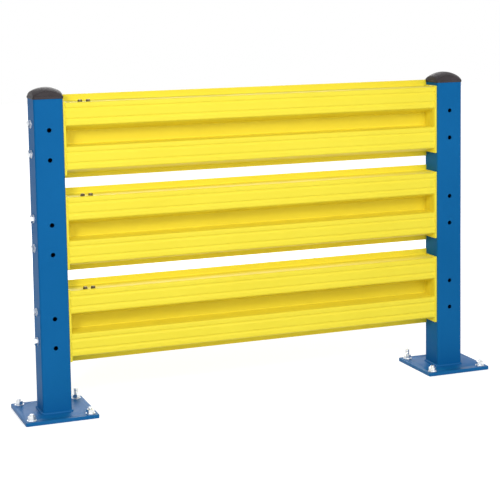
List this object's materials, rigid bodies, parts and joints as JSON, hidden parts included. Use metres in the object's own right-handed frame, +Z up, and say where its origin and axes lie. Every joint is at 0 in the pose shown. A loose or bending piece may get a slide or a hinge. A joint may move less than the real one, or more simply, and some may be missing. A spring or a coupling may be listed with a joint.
{
  "type": "industrial guard rail",
  "caption": "Floor-mounted machinery guard rail bay: ribbed steel rails bolted between square steel posts with domed caps and drilled base plates.",
  "frame": {"origin": "on the floor, midway between the two base plates", "axes": "+X along the rails from the left post to the right post, +Y from the ribbed front to the open back, +Z up"},
  "size_m": [1.778, 0.254, 1.13],
  "materials": {
    "yellow_paint": "safety yellow powder coat, semi-gloss",
    "blue_paint": "blue powder coat, semi-gloss",
    "zinc": "bright zinc plated steel",
    "black_plastic": "moulded black plastic, satin"
  },
  "bodies": {
    "root": {"left_base_plate": "blue_paint", "right_base_plate": "blue_paint", "left_post": "blue_paint", "right_post": "blue_paint", "left_foot_weld": "blue_paint", "right_foot_weld": "blue_paint", "left_post_cap": "black_plastic", "right_post_cap": "black_plastic", "bottom_rail": "yellow_paint", "middle_rail": "yellow_paint", "top_rail": "yellow_paint", "bottom_rail_left_end_plate": "yellow_paint", "bottom_rail_right_end_plate": "yellow_paint", "middle_rail_left_end_plate": "yellow_paint", "middle_rail_right_end_plate": "yellow_paint", "top_rail_left_end_plate": "yellow_paint", "top_rail_right_end_plate": "yellow_paint", "bottom_rail_left_bolts": "zinc", "bottom_rail_right_bolts": "zinc", "middle_rail_left_bolts": "zinc", "middle_rail_right_bolts": "zinc", "top_rail_left_bolts": "zinc", "top_rail_right_bolts": "zinc", "bottom_rail_stop_bolts": "zinc", "middle_rail_stop_bolts": "zinc", "top_rail_stop_bolts": "zinc"}
  },
  "joints": []
}
